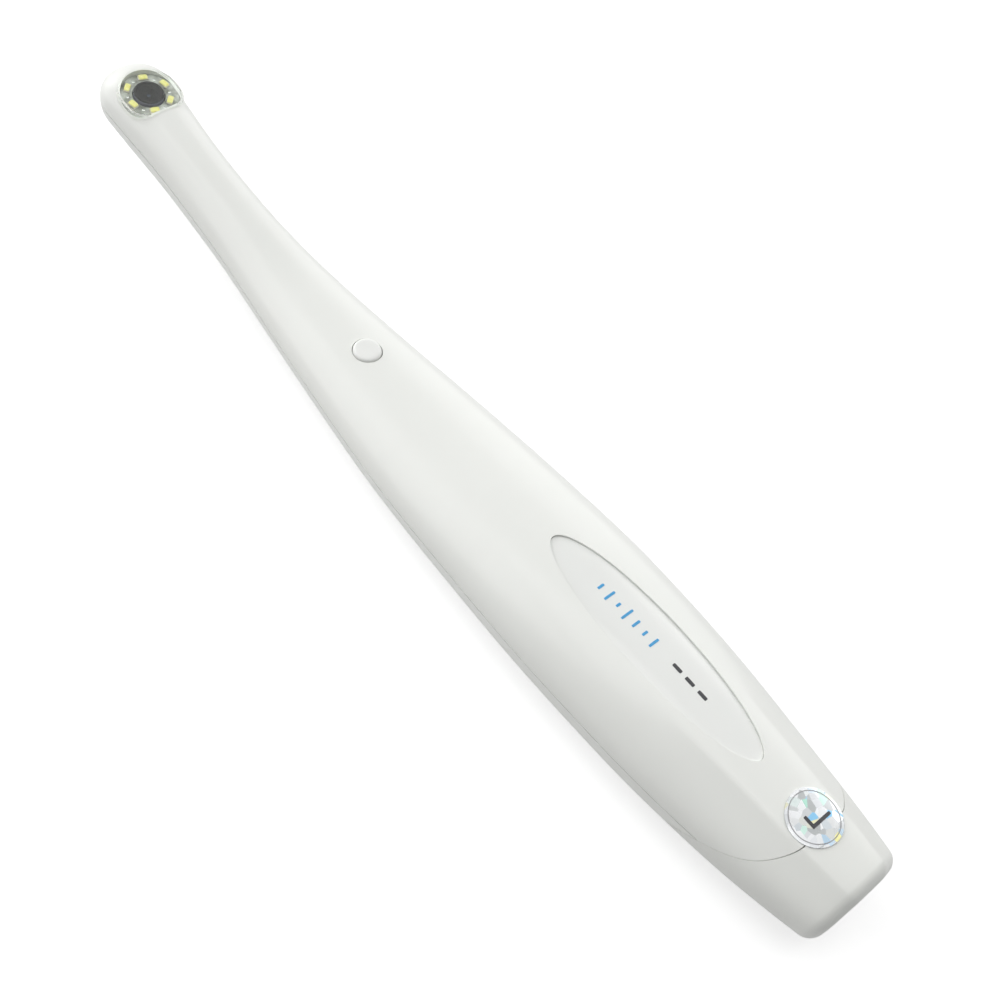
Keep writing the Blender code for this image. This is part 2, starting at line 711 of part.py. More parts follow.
def make_switch():
    place = (at(BUTTON_STATION), 0.0, 0.0)
    low = BOARD_BOTTOM + BOARD_THICK + SEAT
    high = low + SWITCH_HEIGHT
    well = PLUNGER_RADIUS + 0.85
    base = box("switch_base", (SWITCH_SIZE, SWITCH_SIZE, SWITCH_HEIGHT),
               (place[0], 0.0, (low + high) / 2))
    cavity = rod("switch_well", well, low + 0.6, high + 1.0, place, cutter=True)
    boolean(base, "DIFFERENCE", cavity)
    finish(base, (0.03, 0.03, 0.03), 0.5)

    cover = box("switch_cover", (SWITCH_SIZE, SWITCH_SIZE, 0.3),
                (place[0], 0.0, high + SEAT + 0.15))
    window = rod("cover_hole", PLUNGER_RADIUS + 0.25, high - 1.0, high + 2.0, place, cutter=True)
    boolean(cover, "DIFFERENCE", window)
    finish(cover, (0.7, 0.7, 0.7), 0.3, 0.9)

    dome_low = low + 0.6 + SKIN
    dome = turned("switch_dome", [
        (0.0, dome_low + 0.5), (0.7, dome_low + 0.45), (1.3, dome_low + 0.3),
        (1.85, dome_low + 0.02), (1.85, dome_low - 0.0), (1.6, dome_low), (1.2, dome_low + 0.15),
        (0.7, dome_low + 0.3), (0.0, dome_low + 0.36)], place, segments=20)
    finish(dome, (0.75, 0.75, 0.76), 0.25, 1.0)

    flange_low = dome_low + 0.5 + SKIN
    pin_top = high + SEAT + 0.3 + BUTTON_TRAVEL + 0.35
    plunger = turned("switch_plunger", [
        (0.0, pin_top), (PLUNGER_RADIUS - 0.15, pin_top), (PLUNGER_RADIUS, pin_top - 0.15),
        (PLUNGER_RADIUS, flange_low + 0.35), (well - 0.25, flange_low + 0.35),
        (well - 0.25, flange_low), (0.0, flange_low)], place, segments=20)
    finish(plunger, (0.05, 0.05, 0.05), 0.4)
    return pin_top


def make_button(pin_top):
    top = profile(BUTTON_STATION, 2) + BUTTON_PROUD
    collar_low = profile(BUTTON_STATION, 2) - COLLAR_DEPTH
    flange_high = collar_low - GAP
    radius = BUTTON_RADIUS
    button = turned("snapshot_button", [
        (0.0, top), (0.9 * radius / 2.6, top - 0.03), (1.6 * radius / 2.6, top - 0.12),
        (2.15 * radius / 2.6, top - 0.27), (2.45 * radius / 2.6, top - 0.45),
        (radius, top - 0.75), (radius, flange_high),
        (FLANGE_RADIUS, flange_high), (FLANGE_RADIUS, flange_high - FLANGE_THICK),
        (STEM_RADIUS, flange_high - FLANGE_THICK), (STEM_RADIUS, pin_top + SEAT),
        (0.0, pin_top + SEAT)], (at(BUTTON_STATION), 0.0, 0.0), segments=36)
    finish(button, (0.8, 0.8, 0.78), 0.3)


def make_trim():
    oval = draped_disc("nameplate", PLATE_STATION, PLATE_LENGTH / 2, PLATE_WIDTH / 2,
                       -PLATE_SINK - PLATE_THICK, -PLATE_SINK, segments=48)
    finish(oval, (0.82, 0.83, 0.82), 0.3)
    seal = draped_disc("seal_sticker", SEAL_STATION, SEAL_RADIUS, SEAL_RADIUS, SKIN, SKIN + SEAL_THICK)
    finish(seal, (0.75, 0.76, 0.8), 0.25, 0.8)


def draped_disc(name, station, along, across, low, high, segments=28, steps=5, cutter=False):
    """Oval disc that follows the body's top between two heights above it."""
    rings = []
    shares = [max(step / steps, 0.004) for step in range(steps + 1)]
    for lift, order in ((low, shares), (high, shares[::-1])):
        for share in order:
            ring = []
            for i in range(segments):
                angle = 2 * math.pi * i / segments
                ring.append(draped(station + along * share * math.cos(angle),
                                   across * share * math.sin(angle), lift))
            rings.append(ring)
    return loft(name, rings, True, True, True, cutter)


def draped(station, side, lift):
    """Point on the body's top at a station and a sideways place."""
    half_width, centre, half_height = section_size(station)
    power = body_power(station)
    share = max(1.0 - (abs(side) / half_width) ** power, 0.0) ** (1.0 / power)
    drop = shoulder_drop(station, side, half_width)
    return Vector((at(station), side, centre + half_height * share - drop + lift)) * MM


def make_socket():
    back = LENGTH - SOCKET_DEPTH
    outer = SOCKET_RADIUS + SOCKET_WALL
    place = (0.0, 0.0, SOCKET_HEIGHT)
    face = at(LENGTH) - 0.2
    rear = at(back)
    wall_in = at(LENGTH - WALL - 0.4) - GAP
    sleeve = turned("socket_sleeve", [
        (outer - 0.15, face), (SOCKET_RADIUS + 0.15, face), (SOCKET_RADIUS, face - 0.2),
        (SOCKET_RADIUS, rear), (outer, rear), (outer, wall_in - 1.0),
        (outer + SOCKET_FLANGE, wall_in - 1.0), (outer + SOCKET_FLANGE, wall_in), (outer, wall_in),
        (outer, face - 0.15)][::-1],
        place, along_x=True, segments=32)
    finish(sleeve, (0.72, 0.73, 0.74), 0.28, 1.0)

    insert_low = rear + 0.5
    insert = rod("socket_insert", SOCKET_RADIUS - GAP, insert_low, insert_low + INSERT_THICK,
                 place, along_x=True, segments=32)
    finish(insert, (0.03, 0.03, 0.03), 0.5)
    for index in range(4):
        angle = math.radians(45.0 + 90.0 * index)
        y = PIN_RING * math.cos(angle)
        z = SOCKET_HEIGHT + PIN_RING * math.sin(angle)
        hole = rod("pin_hole_%d" % (index + 1), PIN_RADIUS + SEAT, insert_low - 1.0,
                   insert_low + INSERT_THICK + 1.0, (0.0, y, z), segments=12, cutter=True,
                   along_x=True)
        boolean(insert, "DIFFERENCE", hole)
        pin = rod("socket_pin_%d" % (index + 1), PIN_RADIUS, insert_low - 1.2,
                  insert_low + INSERT_THICK + PIN_PROUD, (0.0, y, z), segments=12, along_x=True)
        bevel(pin, 0.12, segments=1)
        finish(pin, (0.83, 0.62, 0.25), 0.25, 1.0)
        make_lead(index, Vector((insert_low - 1.2 - GAP, y, z)))


def make_lead(index, start):
    """Lead from a socket pin to the connector on the handle board."""
    rear = at(BOARD_REAR - 2.0)
    end = Vector((rear + GAP, LEAD_PITCH * (0.5, -0.5, -1.5, 1.5)[index],
                  BOARD_BOTTOM + BOARD_THICK + SEAT + 1.6))
    count = 14
    data = bpy.data.curves.new("lead_%d_line" % (index + 1), "CURVE")
    data.dimensions = "3D"
    data.bevel_depth = LEAD_RADIUS * MM
    data.bevel_resolution = 2
    data.use_fill_caps = True
    spline = data.splines.new("POLY")
    spline.points.add(count)
    for step, point in enumerate(spline.points):
        t = step / count
        blend = smooth_step(t)
        x = start.x + (end.x - start.x) * t
        y = start.y + (end.y - start.y) * blend
        z = start.z + (end.z - start.z) * blend
        point.co = (x * MM, y * MM, z * MM, 1.0)
    lead = bpy.data.objects.new("lead_%d" % (index + 1), data)
    collection.objects.link(lead)
    colour = ((0.7, 0.05, 0.04), (0.75, 0.75, 0.72), (0.05, 0.35, 0.1), (0.03, 0.03, 0.03))[index]
    data.materials.append(material(lead.name + "_material", colour, 0.5))


def make_connector():
    size = (4.4, 7.6, 2.6)
    base = BOARD_BOTTOM + BOARD_THICK + SEAT
    part = box("wire_connector", size, (at(BOARD_REAR - 2.0) - size[0] / 2, 0.0,
                                        base + size[2] / 2), round_edges=0.15)
    finish(part, (0.8, 0.78, 0.7), 0.5)


def main():
    global collection, cutters
    for obj in list(bpy.data.objects):
        bpy.data.objects.remove(obj)
    collection = bpy.data.collections.new("intraoral_camera")
    cutters = bpy.data.collections.new("cutters")
    bpy.context.scene.collection.children.link(collection)
    bpy.context.scene.collection.children.link(cutters)
    head = head_empty()
    make_shells(head)
    make_cap()
    make_window(head)
    make_optics(head)
    make_lamps(head)
    make_flex(head)
    make_board()
    pin_top = make_switch()
    make_button(pin_top)
    make_trim()
    make_connector()
    make_socket()


main()
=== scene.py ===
import math

import bmesh
import bpy
from mathutils import Matrix, Vector


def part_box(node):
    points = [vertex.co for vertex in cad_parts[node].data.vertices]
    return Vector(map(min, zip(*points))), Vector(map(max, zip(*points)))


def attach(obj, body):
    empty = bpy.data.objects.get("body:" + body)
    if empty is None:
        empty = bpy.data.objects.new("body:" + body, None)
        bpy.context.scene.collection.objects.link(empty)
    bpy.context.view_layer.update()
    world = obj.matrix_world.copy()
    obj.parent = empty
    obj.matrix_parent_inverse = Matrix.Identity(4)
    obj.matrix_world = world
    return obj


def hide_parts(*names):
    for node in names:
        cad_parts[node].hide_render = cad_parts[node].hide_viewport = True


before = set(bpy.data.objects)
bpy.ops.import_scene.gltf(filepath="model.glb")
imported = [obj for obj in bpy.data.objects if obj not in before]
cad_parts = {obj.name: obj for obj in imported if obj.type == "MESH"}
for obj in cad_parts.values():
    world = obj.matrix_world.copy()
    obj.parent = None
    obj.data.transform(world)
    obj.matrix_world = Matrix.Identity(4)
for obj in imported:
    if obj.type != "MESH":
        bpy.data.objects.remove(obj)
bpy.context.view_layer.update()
MM = 0.001

# ---------------------------------------------------------------- the wand's surface
LENGTH = 199.0
HEAD_WIDTH, NECK_WIDTH, HANDLE_WIDTH, TAIL_WIDTH, HANDLE_HEIGHT = 14.4, 12.1, 29.8, 18.8, 19.5
WALL = 1.8
NOSE_LENGTH, TAIL_ROUND, BELLY_FLAT = 6.8, 2.2, 0.25
BODY_POWER, HEAD_POWER = 2.35, 2.4
FACET_START, FACET_BLEND, FACET_SHARE, FACET_DEPTH = 145.0, 30.0, 0.45, 0.85
HEAD_STATION, HEAD_TILT = 10.0, 4.0
BUTTON_STATION, BUTTON_RADIUS = 76.7, 2.6
SEAM_STATION, SEAM_SWEEP, SEAM_HIGH, SEAM_LOW = 187.8, 20.0, 19.2, 2.0
PLATE_STATION, PLATE_LENGTH, PLATE_WIDTH, PLATE_SINK, PLATE_THICK = 149.6, 48.8, 11.2, 0.4, 0.3
SEAL_STATION, SEAL_RADIUS = 185.6, 4.85
SOCKET_HEIGHT = 11.2
WINDOW_RADIUS, WINDOW_REACH, WINDOW_POWER, WINDOW_THICK, WINDOW_PANE = 5.8, 5.4, 3.2, 2.4, 0.5
BARREL_RADIUS, BARREL_TOP, BARREL_END, BARREL_BORE = 2.8, -0.65, -4.95, 1.78
LAMP_COUNT, LAMP_RING, LAMP_PHASE, LAMP_PITCH, LAMP_BOARD_TOP = 6, 4.0, -18.0, 60.0, -1.4
BUTTON_PROUD, BUTTON_GAP, BUTTON_FLANGE = 0.45, 0.14, 3.5
PLATE_GAP, PRINT_THICK, SEAL_LIFT, SEAL_THICK = 0.05, 0.02, 0.1, 0.12
SOCKET_RADIUS, SOCKET_DEPTH, PIN_RING, PIN_COUNT = 3.8, 9.5, 2.1, 4
GROOVE = 0.2  # width of the parting line and of the tail cap's seam

# station, full width, top height, bottom height
PROFILE = (
    (0.0, HEAD_WIDTH + 0.5, 20.2, 10.8),
    (5.0, HEAD_WIDTH, 19.8, 9.6),
    (13.0, HEAD_WIDTH - 1.0, 19.1, 7.6),
    (24.0, NECK_WIDTH, 17.5, 5.7),
    (39.0, NECK_WIDTH + 0.6, 15.4, 3.8),
    (57.0, 16.1, 13.8, 2.1),
    (77.0, 20.9, 14.4, 0.6),
    (97.0, 25.6, 15.7, 0.0),
    (117.0, HANDLE_WIDTH - 1.5, HANDLE_HEIGHT - 1.8, 0.0),
    (137.0, HANDLE_WIDTH, HANDLE_HEIGHT - 0.3, 0.0),
    (157.0, HANDLE_WIDTH - 0.9, HANDLE_HEIGHT, 0.0),
    (177.0, 25.5, HANDLE_HEIGHT - 0.2, 0.5),
    (191.0, TAIL_WIDTH + 3.0, HANDLE_HEIGHT - 0.4, 2.3),
    (LENGTH, TAIL_WIDTH, HANDLE_HEIGHT - 0.6, 3.6),
)


def at(station):
    return station - LENGTH / 2


def smooth_step(t):
    t = min(max(t, 0.0), 1.0)
    return t * t * (3.0 - 2.0 * t)


def slopes(column):
    steps = [(b[column] - a[column]) / (b[0] - a[0]) for a, b in zip(PROFILE, PROFILE[1:])]
    result = [steps[0]]
    for before, after in zip(steps, steps[1:]):
        result.append(0.0 if before * after <= 0.0 else 2.0 * before * after / (before + after))
    result.append(steps[-1])
    return result


SLOPES = [None, slopes(1), slopes(2), slopes(3)]


def raw_profile(station, column):
    if station < 0.0:
        return PROFILE[0][column] + SLOPES[column][0] * station
    if station > LENGTH:
        return PROFILE[-1][column] + SLOPES[column][-1] * (station - LENGTH)
    index = 0
    while index < len(PROFILE) - 2 and station > PROFILE[index + 1][0]:
        index += 1
    start, end = PROFILE[index], PROFILE[index + 1]
    span = end[0] - start[0]
    t = (station - start[0]) / span
    rise = SLOPES[column][index] * span
    fall = SLOPES[column][index + 1] * span
    return ((2 * t ** 3 - 3 * t ** 2 + 1) * start[column] + (t ** 3 - 2 * t ** 2 + t) * rise
            + (3 * t ** 2 - 2 * t ** 3) * end[column] + (t ** 3 - t ** 2) * fall)


def soften(column, sigma=3.5, reach=12):
    """The profile on a 1 mm grid, smoothed so that reflections run without kinks."""
    offsets = range(-reach, reach + 1)
    weights = [math.exp(-0.5 * (k / sigma) ** 2) for k in offsets]
    total = sum(weights)
    return [sum(w * raw_profile(i + k, column) for w, k in zip(weights, offsets)) / total
            for i in range(int(LENGTH) + 1)]


SOFT = [None, soften(1), soften(2), soften(3)]


def profile(station, column):
    station = min(max(station, 0.0), LENGTH)
    i = min(int(station), int(LENGTH) - 1)
    t = station - i
    grid = SOFT[column]
    a = grid[max(i - 1, 0)]
    b, c = grid[i], grid[i + 1]
    d = grid[min(i + 2, len(grid) - 1)]
    return b + 0.5 * t * (c - a + t * (2 * a - 5 * b + 4 * c - d + t * (3 * (b - c) + d - a)))


def body_power(station):
    return HEAD_POWER + (BODY_POWER - HEAD_POWER) * smooth_step((station - 14.0) / 20.0)


def section_size(station):
    half_width = profile(station, 1) / 2
    top = profile(station, 2)
    bottom = max(profile(station, 3), 0.0) - BELLY_FLAT
    centre = (top + bottom) / 2
    half_height = (top - bottom) / 2
    if station < NOSE_LENGTH:
        nose = math.sqrt(max(1.0 - (1.0 - station / NOSE_LENGTH) ** 2, 0.0))
        half_width *= nose
        half_height *= nose
    if station > LENGTH - TAIL_ROUND:
        t = (station - LENGTH + TAIL_ROUND) / TAIL_ROUND
        inset = TAIL_ROUND * (1.0 - math.sqrt(max(1.0 - t * t, 0.0)))
        half_width -= inset
        half_height -= inset
    return half_width, centre, half_height


def shoulder_drop(station, side, half_width):
    """Depth by which the shoulders fall away beside the flat top of the tail."""
    edge = FACET_SHARE * half_width
    t = (abs(side) - edge) / max(half_width - edge, 0.01)
    if not 0.0 < t < 1.0:
        return 0.0
    depth = FACET_DEPTH * smooth_step((station - FACET_START) / FACET_BLEND)
    return 4.0 * depth * t * (1.0 - t)


def section_point(station, angle, inset=0.0):
    half_width, centre, half_height = section_size(station)
    power = body_power(station) if math.sin(angle) >= 0.0 else BODY_POWER
    c, s = math.cos(angle), math.sin(angle)
    y = (half_width - inset) * math.copysign(abs(c) ** (2.0 / power), c)
    z = centre + (half_height - inset) * math.copysign(abs(s) ** (2.0 / power), s)
    if s >= 0.0:
        z -= shoulder_drop(station, y, half_width)
    floor = max(profile(station, 3), 0.0) + inset
    return Vector((at(station), y, max(z, min(floor, centre)))) * MM


def parting_angle(station, height):
    half_height = section_size(station)[2]
    power = body_power(station)
    return math.asin(min(max(height / max(half_height, 0.01), 0.0), 0.8) ** (power / 2.0))


def draped(station, side, lift):
    """Point at a height of lift above the wand's top."""
    half_width, centre, half_height = section_size(station)
    power = body_power(station)
    share = max(1.0 - (abs(side) / half_width) ** power, 0.0) ** (1.0 / power)
    drop = shoulder_drop(station, side, half_width)
    return Vector((at(station), side, centre + half_height * share - drop + lift)) * MM


def body_stations(start, end, step):
    marks = [start, end, LENGTH - TAIL_ROUND]
    for index in range(1, 16):
        marks.append(NOSE_LENGTH * (1.0 - math.cos(index * math.pi / 30.0)))
        if index % 2:
            marks.append(LENGTH - TAIL_ROUND * (1.0 - math.sin(index * math.pi / 30.0)))
    count = int((end - start) / step)
    for index in range(count + 1):
        mark = start + (end - start) * index / count
        if NOSE_LENGTH + 0.5 < mark < LENGTH - TAIL_ROUND - 0.5:
            marks.append(mark)
    return sorted(set(m for m in marks if start <= m <= end))


# ---------------------------------------------------------------- mesh helpers
def add(name, bm, matrix=None):
    bmesh.ops.recalc_face_normals(bm, faces=bm.faces)
    mesh = bpy.data.meshes.new(name)
    bm.to_mesh(mesh)
    bm.free()
    obj = bpy.data.objects.new(name, mesh)
    bpy.context.scene.collection.objects.link(obj)
    if matrix:
        obj.matrix_world = matrix
    return obj


def loft(name, rings, ends=True):
    bm = bmesh.new()
    rows = [[bm.verts.new(point) for point in ring] for ring in rings]
    count = len(rows[0])
    for before, after in zip(rows, rows[1:]):
        for i in range(count):
            j = (i + 1) % count
            bm.faces.new((before[i], before[j], after[j], after[i]))
    if ends:
        bm.faces.new(rows[0])
        bm.faces.new(rows[-1])
    return add(name, bm)


def prism(name, outline, low, high, matrix=None, upright=False):
    """Straight piece between low and high along Z, or along Y if upright."""
    bm = bmesh.new()
    if upright:
        low_row = [bm.verts.new(Vector((x, low, z)) * MM) for x, z in outline]
        high_row = [bm.verts.new(Vector((x, high, z)) * MM) for x, z in outline]
    else:
        low_row = [bm.verts.new(Vector((x, y, low)) * MM) for x, y in outline]
        high_row = [bm.verts.new(Vector((x, y, high)) * MM) for x, y in outline]
    bm.faces.new(low_row)
    bm.faces.new(high_row)
    for i in range(len(outline)):
        j = (i + 1) % len(outline)
        bm.faces.new((low_row[i], low_row[j], high_row[j], high_row[i]))
    return add(name, bm, matrix)


def turned(name, points, matrix=None, segments=64, place=(0, 0, 0)):
    """Closed turned piece; the points run round its section."""
    bm = bmesh.new()
    rows = []
    for r, z in points:
        if r < 1e-6:
            rows.append([bm.verts.new(Vector((place[0], place[1], z + place[2])) * MM)])
        else:
            rows.append([bm.verts.new(Vector((
                place[0] + r * math.cos(2 * math.pi * i / segments),
                place[1] + r * math.sin(2 * math.pi * i / segments),
                z + place[2])) * MM) for i in range(segments)])
    closed = points[0][0] > 1e-6 and points[-1][0] > 1e-6
    pairs = list(zip(rows, rows[1:])) + ([(rows[-1], rows[0])] if closed else [])
    for a, b in pairs:
        for i in range(segments):
            j = (i + 1) % segments
            if len(a) == 1:
                bm.faces.new((a[0], b[j], b[i]))
            elif len(b) == 1:
                bm.faces.new((a[i], a[j], b[0]))
            else:
                bm.faces.new((a[i], a[j], b[j], b[i]))
    return add(name, bm, matrix)


def cut(obj, *tools, operation="DIFFERENCE"):
    """Boolean with each tool, applied, and the tools removed."""
    for tool in tools:
        modifier = obj.modifiers.new("cut", "BOOLEAN")
        modifier.operation = operation
        modifier.solver = "EXACT"
        modifier.object = tool
        bpy.context.view_layer.update()
        graph = bpy.context.evaluated_depsgraph_get()
        mesh = bpy.data.meshes.new_from_object(obj.evaluated_get(graph))
        obj.modifiers.clear()
        old = obj.data
        obj.data = mesh
        bpy.data.meshes.remove(old)
        bpy.data.objects.remove(tool)
    return obj


def shade(obj, angle=32.0):
    obj.data.shade_smooth()
    obj.data.set_sharp_from_angle(angle=math.radians(angle))
    return obj


def bevel(obj, width, segments=3, angle=40.0):
    modifier = obj.modifiers.new("round", "BEVEL")
    modifier.width = width * MM
    modifier.segments = segments
    modifier.limit_method = "ANGLE"
    modifier.angle_limit = math.radians(angle)
    modifier.use_clamp_overlap = True
    return obj


def show(obj, material, replaces=(), body="housing", angle=32.0):
    """Gives a finished piece its material and its body, and hides the CAD nodes that it stands for.
    """
    obj.data.materials.clear()
    obj.data.materials.append(material)
    if obj.type == "MESH":
        shade(obj, angle)
    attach(obj, body)
    if replaces:
        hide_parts(*replaces)
    return obj


def head_outline(shift=0.0, segments=128):
    """Outline of the window moved in or out: round towards the tip, squarer towards the neck."""
    radius, reach = WINDOW_RADIUS + shift, WINDOW_REACH + shift
    points = []
    for i in range(segments):
        angle = 2 * math.pi * (i + 0.5) / segments
        c, s = math.cos(angle), math.sin(angle)
        if c < 0.0:
            points.append((radius * c, radius * s))
        else:
            points.append((reach * c ** (2.0 / WINDOW_POWER),
                           radius * math.copysign(abs(s) ** (2.0 / WINDOW_POWER), s)))
    return points


head = (Matrix.Translation(Vector((at(HEAD_STATION), 0.0, raw_profile(HEAD_STATION, 2))) * MM)
        @ Matrix.Rotation(math.radians(HEAD_TILT), 4, "Y"))


# ---------------------------------------------------------------- materials
def new_material(name):
    material = bpy.data.materials.new(name)
    material.use_nodes = True
    tree = material.node_tree
    return material, tree, tree.nodes["Principled BSDF"]


def noise(tree, scale, detail=3.0):
    coordinates = tree.nodes.new("ShaderNodeTexCoord")
    texture = tree.nodes.new("ShaderNodeTexNoise")
    texture.inputs["Scale"].default_value = scale
    texture.inputs["Detail"].default_value = detail
    texture.inputs["Roughness"].default_value = 0.55
    tree.links.new(coordinates.outputs["Object"], texture.inputs["Vector"])
    return texture.outputs["Fac"]


def ramp(tree, source, stops):
    node = tree.nodes.new("ShaderNodeValToRGB")
    elements = node.color_ramp.elements
    while len(elements) < len(stops):
        elements.new(0.5)
    for element, (position, colour) in zip(elements, stops):
        element.position = position
        element.color = (*colour, 1.0)
    tree.links.new(source, node.inputs["Fac"])
    return node.outputs["Color"]


def span(tree, source, low, high):
    node = tree.nodes.new("ShaderNodeMapRange")
    node.inputs["To Min"].default_value = low
    node.inputs["To Max"].default_value = high
    tree.links.new(source, node.inputs["Value"])
    return node.outputs["Result"]


def bump(tree, shader, source, strength, distance):
    node = tree.nodes.new("ShaderNodeBump")
    node.inputs["Strength"].default_value = strength
    node.inputs["Distance"].default_value = distance
    tree.links.new(source, node.inputs["Height"])
    tree.links.new(node.outputs["Normal"], shader.inputs["Normal"])


def moulded(name, colour, shade_colour, roughness, grain=0.04, coat=0.0):
    """Moulded plastic: a slight colour drift, faint haze and a very fine surface texture."""
    material, tree, shader = new_material(name)
    drift = noise(tree, 220.0, 4.0)
    colours = ramp(tree, drift, [(0.25, shade_colour), (0.75, colour)])
    tree.links.new(colours, shader.inputs["Base Color"])
    haze = noise(tree, 140.0, 4.0)
    tree.links.new(span(tree, haze, roughness * 0.85, roughness * 1.2), shader.inputs["Roughness"])
    bump(tree, shader, noise(tree, 900.0, 2.0), grain, 0.00006)
    shader.inputs["IOR"].default_value = 1.5
    shader.inputs["Coat Weight"].default_value = coat
    shader.inputs["Coat Roughness"].default_value = 0.08
    return material


def metal(name, colour, roughness):
    material, tree, shader = new_material(name)
    shader.inputs["Metallic"].default_value = 1.0
    dark = tuple(c * 0.82 for c in colour)
    tree.links.new(ramp(tree, noise(tree, 90.0), [(0.3, dark), (0.7, colour)]),
                   shader.inputs["Base Color"])
    fine = noise(tree, 600.0, 3.0)
    tree.links.new(span(tree, fine, roughness * 0.7, roughness * 1.4), shader.inputs["Roughness"])
    bump(tree, shader, fine, 0.05, 0.00004)
    return material


def clear(name, colour, roughness, ior, weight=1.0):
    material, tree, shader = new_material(name)
    shader.inputs["Base Color"].default_value = (*colour, 1.0)
    shader.inputs["Transmission Weight"].default_value = weight
    shader.inputs["IOR"].default_value = ior
    shader.inputs["Specular IOR Level"].default_value = 0.2
    tree.links.new(span(tree, noise(tree, 300.0), roughness, roughness + 0.02),
                   shader.inputs["Roughness"])
    return material


SHELL = moulded("shell_white_plastic", (0.86, 0.872, 0.838), (0.85, 0.862, 0.828), 0.3, coat=0.15)
CAP = moulded("cap_white_plastic", (0.835, 0.847, 0.812), (0.825, 0.837, 0.802), 0.32, coat=0.12)
BUTTON = moulded("button_white_plastic", (0.87, 0.88, 0.855), (0.86, 0.87, 0.845), 0.32)
PLATE = moulded("plate_white_film", (0.85, 0.862, 0.838), (0.84, 0.852, 0.828), 0.22, coat=0.3)
BLACK = moulded("black_anodised", (0.012, 0.012, 0.013), (0.006, 0.006, 0.007), 0.55)
BARREL_SIDE = moulded("blue_grey_anodised", (0.17, 0.17, 0.23), (0.11, 0.11, 0.15), 0.4)
RUBBER = moulded("gasket_rubber", (0.15, 0.155, 0.125), (0.1, 0.105, 0.085), 0.6)
EPOXY = moulded("chip_epoxy", (0.03, 0.03, 0.034), (0.02, 0.02, 0.022), 0.5)
CREAM = moulded("connector_nylon", (0.75, 0.71, 0.6), (0.7, 0.66, 0.55), 0.5)
MASK = moulded("green_solder_mask", (0.025, 0.17, 0.07), (0.015, 0.12, 0.05), 0.35)
AMBER = moulded("amber_film", (0.55, 0.25, 0.05), (0.45, 0.19, 0.04), 0.35)
FERRITE = moulded("ferrite", (0.1, 0.1, 0.11), (0.07, 0.07, 0.075), 0.65)
SILVER = metal("nickel_plating", (0.75, 0.76, 0.77), 0.22)
STEEL = metal("bright_steel", (0.6, 0.6, 0.62), 0.28)
GOLD = metal("gold_plating", (0.85, 0.64, 0.26), 0.22)
WINDOW = clear("window_clear_plastic", (0.93, 0.95, 0.92), 0.0, 1.46)
LENS = clear("coated_lens_glass", (0.25, 0.3, 0.42), 0.0, 1.6, 0.6)


# Yellow phosphor colour of the lamps, with a painted glow on top.
def phosphor_and_painted_glow_material():
    material, tree, shader = new_material("lamp_phosphor_and_painted_glow")
    colours = ramp(tree, noise(tree, 1500.0, 2.0),
                   [(0.3, (0.8, 0.76, 0.2)), (0.7, (0.88, 0.86, 0.36))])
    tree.links.new(colours, shader.inputs["Base Color"])
    tree.links.new(colours, shader.inputs["Emission Color"])
    # Painted glow: the lamps are unlit, and this faint emission stands in for the light that reaches
    # them through the window.
    shader.inputs["Emission Strength"].default_value = 0.2
    shader.inputs["Roughness"].default_value = 0.4
    return material


def ring_board_material():
    material, tree, shader = new_material("ring_board_mask")
    colours = ramp(tree, noise(tree, 420.0, 3.0),
                   [(0.3, (0.2, 0.21, 0.18)), (0.48, (0.5, 0.52, 0.49)), (0.7, (0.78, 0.8, 0.78))])
    tree.links.new(colours, shader.inputs["Base Color"])
    shader.inputs["Roughness"].default_value = 0.35
    bump(tree, shader, noise(tree, 700.0), 0.2, 0.0001)
    return material


def foil_material():
    """Iridescent seal: small facets of pastel colours over bright foil."""
    material, tree, shader = new_material("seal_foil")
    coordinates = tree.nodes.new("ShaderNodeTexCoord")
    cells = tree.nodes.new("ShaderNodeTexVoronoi")
    cells.inputs["Scale"].default_value = 780.0
    tree.links.new(coordinates.outputs["Object"], cells.inputs["Vector"])
    split = tree.nodes.new("ShaderNodeSeparateColor")
    tree.links.new(cells.outputs["Color"], split.inputs["Color"])
    colours = ramp(tree, split.outputs["Red"], [
        (0.0, (0.4, 0.42, 0.42)), (0.2, (0.66, 0.68, 0.7)), (0.33, (0.8, 0.81, 0.82)),
        (0.4, (0.42, 0.72, 0.6)), (0.48, (0.7, 0.72, 0.73)), (0.64, (0.82, 0.83, 0.84)),
        (0.7, (0.84, 0.8, 0.34)), (0.78, (0.6, 0.62, 0.63)), (0.88, (0.24, 0.52, 0.76)),
        (0.93, (0.78, 0.79, 0.8)), (1.0, (0.5, 0.52, 0.52))])
    tree.links.new(colours, shader.inputs["Base Color"])
    shader.inputs["Metallic"].default_value = 0.45
    tree.links.new(span(tree, split.outputs["Green"], 0.12, 0.45), shader.inputs["Roughness"])
    bump(tree, shader, split.outputs["Blue"], 0.25, 0.0001)
    return material


def print_material(name, colour):
    material, tree, shader = new_material(name)
    light = tuple(min(c * 1.15 + 0.02, 1.0) for c in colour)
    tree.links.new(ramp(tree, noise(tree, 2500.0), [(0.35, colour), (0.7, light)]),
                   shader.inputs["Base Color"])
    shader.inputs["Roughness"].default_value = 0.4
    return material


PHOSPHOR_AND_PAINTED_GLOW = phosphor_and_painted_glow_material()
RING_BOARD = ring_board_material()
FOIL = foil_material()
BLUE_PRINT = print_material("blue_print", (0.05, 0.32, 0.62))
DARK_PRINT = print_material("dark_print", (0.03, 0.03, 0.035))
GREY_PRINT = print_material("grey_print", (0.3, 0.3, 0.31))


# ---------------------------------------------------------------- housing
def half_body(name, upper, segments=56, step=1.6):
    rings = []
    for station in body_stations(0.02, LENGTH, step):
        edge = parting_angle(station, GROOVE / 2)
        ring = []
        for i in range(segments + 1):
            angle = edge + (math.pi - 2 * edge) * i / segments
            ring.append(section_point(station, angle if upper else -angle))
        rings.append(ring)
    return loft(name, rings)


